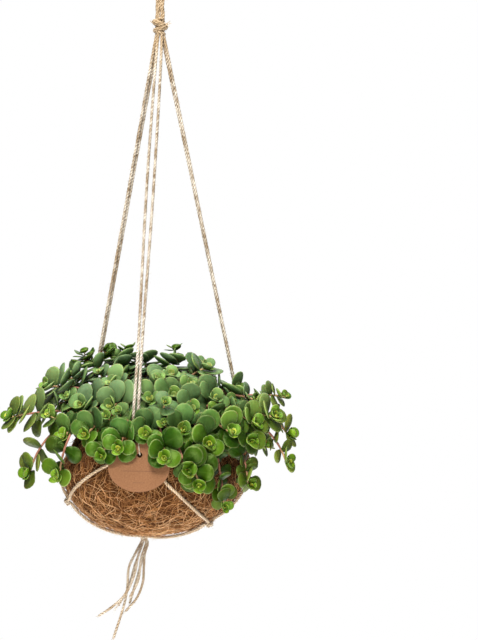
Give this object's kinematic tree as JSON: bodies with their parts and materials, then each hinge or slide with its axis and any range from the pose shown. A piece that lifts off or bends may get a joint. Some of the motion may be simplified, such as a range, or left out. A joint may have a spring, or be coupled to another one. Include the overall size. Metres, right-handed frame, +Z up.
{
  "type": "hanging plant ball",
  "caption": "Trailing round-leaved stonecrop in a coir-wrapped root ball, hung in a knotted twine hanger with a plain oval tag and a loose tassel.",
  "frame": {"origin": "where a hook bears, inside the top of the hanging loop", "axes": "+Z up, -Y towards the front with the tag, +X to the right seen from the front"},
  "size_m": [0.2917, 0.228, 0.6836],
  "materials": {
    "twine": "hairy jute twine",
    "coir": "matted coarse coconut fibre",
    "soil": "moist crumbly soil",
    "kraft": "matte brown kraft card",
    "leaf": "waxy succulent leaf"
  },
  "bodies": {
    "root": {"hanging_loop": "twine", "top_knot": "twine", "leg_front_1": "twine", "leg_front_2": "twine", "leg_right_1": "twine", "leg_right_2": "twine", "leg_left_1": "twine", "leg_left_2": "twine", "rim_knot_front": "twine", "rim_knot_right": "twine", "rim_knot_left": "twine", "side_knot_right": "twine", "side_knot_left": "twine", "side_knot_back": "twine", "net_front_to_left": "twine", "net_front_to_right": "twine", "net_right_to_right": "twine", "net_right_to_back": "twine", "net_left_to_back": "twine", "net_left_to_left": "twine", "base_strands_right": "twine", "base_strands_left": "twine", "base_strands_back": "twine", "bottom_knot": "twine", "tassel_long": "twine", "tassel_left": "twine", "tassel_short": "twine", "tassel_right": "twine", "tassel_back": "twine", "tassel_frayed": "twine", "coir_wrap": "coir", "root_ball": "soil", "tag": "kraft", "tag_thread": "twine", "spray_far_left": "leaf", "spray_low_left": "leaf", "spray_left_shoulder": "leaf", "spray_high_left": "leaf", "spray_left_top": "leaf", "spray_crown_left": "leaf", "spray_front_left": "leaf", "spray_front_mid_left": "leaf", "spray_front_mid": "leaf", "spray_front_top": "leaf", "spray_crown_front": "leaf", "spray_crown_back": "leaf", "spray_crown_right": "leaf", "spray_right_shoulder": "leaf", "spray_front_right": "leaf", "spray_bright_right": "leaf", "spray_front_low": "leaf", "spray_low_right": "leaf", "spray_far_right": "leaf", "spray_high_right": "leaf", "spray_hanging_right": "leaf", "spray_back_right": "leaf", "spray_back_right_low": "leaf", "spray_back_mid": "leaf", "spray_back_left": "leaf", "spray_back_left_low": "leaf"}
  },
  "joints": []
}
